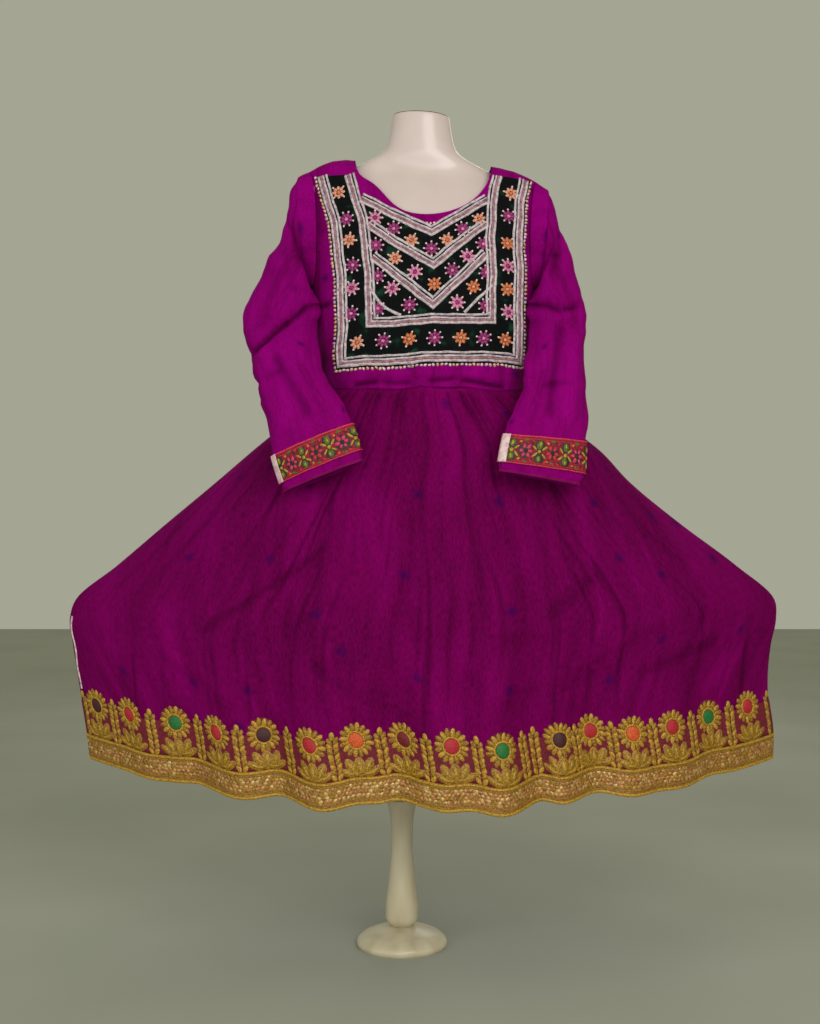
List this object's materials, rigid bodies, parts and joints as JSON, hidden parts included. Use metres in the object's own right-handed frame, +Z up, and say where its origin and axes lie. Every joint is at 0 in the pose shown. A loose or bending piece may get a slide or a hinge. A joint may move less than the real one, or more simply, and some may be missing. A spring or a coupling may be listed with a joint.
{
  "type": "kuchi dress on a dress form",
  "caption": "Long-sleeved gathered dress with embroidered chest panel, cuffs and hem border, on a limbless dress form with a turned stand.",
  "frame": {"origin": "on the floor under the middle of the dress, level with its side seams", "axes": "+Z up, +X to the right of someone facing the front of the dress, -Y out of its front"},
  "size_m": [1.3354, 0.5411, 1.5756],
  "materials": {
    "crepe": "matte",
    "panel_cloth": "matte",
    "gold_embroidery": "satin",
    "sequin_braid": "satin",
    "cuff_embroidery": "matte",
    "binding": "matte",
    "form_shell": "gloss",
    "stand_metal": "satin"
  },
  "bodies": {
    "root": {"bodice_front": "crepe", "bodice_back": "crepe", "skirt_front": "crepe", "skirt_back": "crepe", "sleeve_left": "crepe", "sleeve_right": "crepe", "cuff_left": "cuff_embroidery", "cuff_right": "cuff_embroidery", "cuff_binding_left": "binding", "cuff_binding_right": "binding", "chest_panel": "panel_cloth", "hem_border_front": "gold_embroidery", "hem_border_back": "gold_embroidery", "hem_braid_front": "sequin_braid", "hem_braid_back": "sequin_braid", "form_torso": "form_shell", "stand_pole": "stand_metal", "stand_post": "stand_metal", "stand_base": "stand_metal"}
  },
  "joints": []
}
